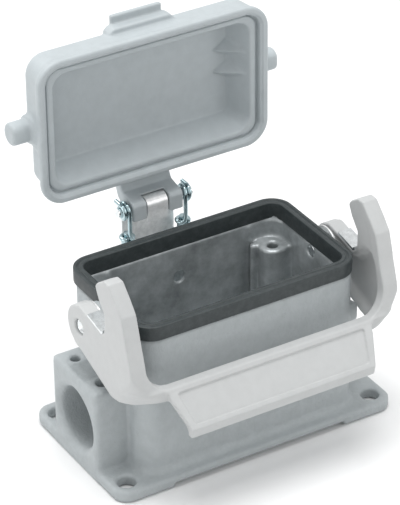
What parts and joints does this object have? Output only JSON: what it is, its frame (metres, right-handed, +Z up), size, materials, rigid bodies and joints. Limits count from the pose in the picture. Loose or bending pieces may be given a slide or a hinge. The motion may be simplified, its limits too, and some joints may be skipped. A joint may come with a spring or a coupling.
{
  "type": "heavy duty rectangular connector housing",
  "caption": "Surface-mount connector housing with a side cable entry, a rubber rim seal, a hinged spring cover and one U-shaped locking lever.",
  "frame": {"origin": "middle of the mounting face, at the centre of the four mounting holes", "axes": "+Z up out of the mounting face, +X along the housing away from the cable entry, +Y towards the cover's hinge"},
  "size_m": [0.0922, 0.0808, 0.1143],
  "materials": {
    "cast_housing": "powder-coated die-cast aluminium, fine texture",
    "cast_cover": "powder-coated die-cast aluminium, fine texture",
    "cast_lever": "satin coated die casting",
    "seal": "matte moulded rubber",
    "steel": "bright zinc-plated steel"
  },
  "bodies": {
    "base": {"housing": "cast_housing", "rim_seal": "seal", "hinge_pin": "steel", "hinge_bracket": "steel", "bracket_rivet": "steel", "spring_stud_left": "steel", "spring_stud_right": "steel", "hinge_spring_left": "steel", "hinge_spring_right": "steel", "pivot_pin_left": "steel", "pivot_pin_right": "steel", "pivot_washer_left": "steel", "pivot_washer_right": "steel"},
    "cover_body": {"cover": "cast_cover"},
    "lever_body": {"lever": "cast_lever", "lever_leaf_left": "steel", "lever_leaf_right": "steel"}
  },
  "joints": [
    {"name": "cover_hinge", "type": "hinge", "parent": "base", "child": "cover_body", "pos_m": [0, 0.033, 0.0553], "axis": [1, 0, 0], "range_deg": [0, 90]},
    {"name": "lever_pivot", "type": "hinge", "parent": "base", "child": "lever_body", "pos_m": [0, 0, 0.0449], "axis": [-1, 0, 0], "range_deg": [0, 43]}
  ]
}
